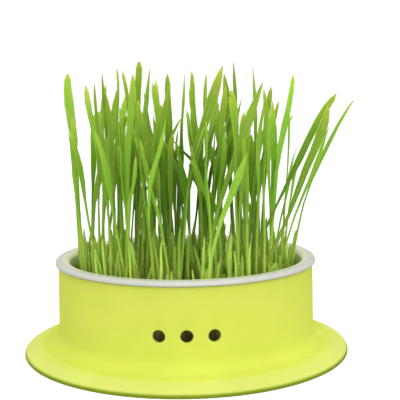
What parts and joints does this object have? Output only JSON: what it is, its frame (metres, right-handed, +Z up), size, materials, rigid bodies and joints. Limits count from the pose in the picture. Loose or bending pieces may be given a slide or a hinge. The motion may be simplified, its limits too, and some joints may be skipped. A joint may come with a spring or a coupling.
{
  "type": "wheatgrass pot",
  "caption": "Young wheatgrass growing in a shallow tray that hangs in a low round plastic pot with a wide flared brim and front vent holes.",
  "frame": {"origin": "on the pot's axis, on the flat underside of the pot, which is the surface that it stands on", "axes": "+Z up along the pot's axis; -Y is the front, with the middle one of the three vent holes; +X to the right of the front"},
  "size_m": [0.1959, 0.1918, 0.17],
  "materials": {
    "pot_plastic": "satin",
    "tray_plastic": "satin",
    "growing_bed": "matte",
    "wheat_leaf": "satin"
  },
  "bodies": {
    "root": {"outer_pot": "pot_plastic", "liner": "tray_plastic", "soil": "growing_bed", "grass_tuft_01": "wheat_leaf", "grass_tuft_02": "wheat_leaf", "grass_tuft_03": "wheat_leaf", "grass_tuft_04": "wheat_leaf", "grass_tuft_05": "wheat_leaf", "grass_tuft_06": "wheat_leaf", "grass_tuft_07": "wheat_leaf", "grass_tuft_08": "wheat_leaf", "grass_tuft_09": "wheat_leaf", "grass_tuft_10": "wheat_leaf", "grass_tuft_11": "wheat_leaf", "grass_tuft_12": "wheat_leaf", "grass_tuft_13": "wheat_leaf", "grass_tuft_14": "wheat_leaf", "grass_tuft_15": "wheat_leaf", "grass_tuft_16": "wheat_leaf", "grass_tuft_17": "wheat_leaf", "grass_tuft_18": "wheat_leaf", "grass_tuft_19": "wheat_leaf", "grass_tuft_20": "wheat_leaf", "grass_tuft_21": "wheat_leaf", "grass_tuft_22": "wheat_leaf", "grass_tuft_23": "wheat_leaf", "grass_tuft_24": "wheat_leaf", "grass_tuft_25": "wheat_leaf", "grass_tuft_26": "wheat_leaf", "grass_tuft_27": "wheat_leaf", "grass_tuft_28": "wheat_leaf", "grass_tuft_29": "wheat_leaf", "grass_tuft_30": "wheat_leaf", "grass_tuft_31": "wheat_leaf", "grass_tuft_32": "wheat_leaf", "grass_tuft_33": "wheat_leaf", "grass_tuft_34": "wheat_leaf", "grass_tuft_35": "wheat_leaf", "grass_tuft_36": "wheat_leaf"}
  },
  "joints": []
}
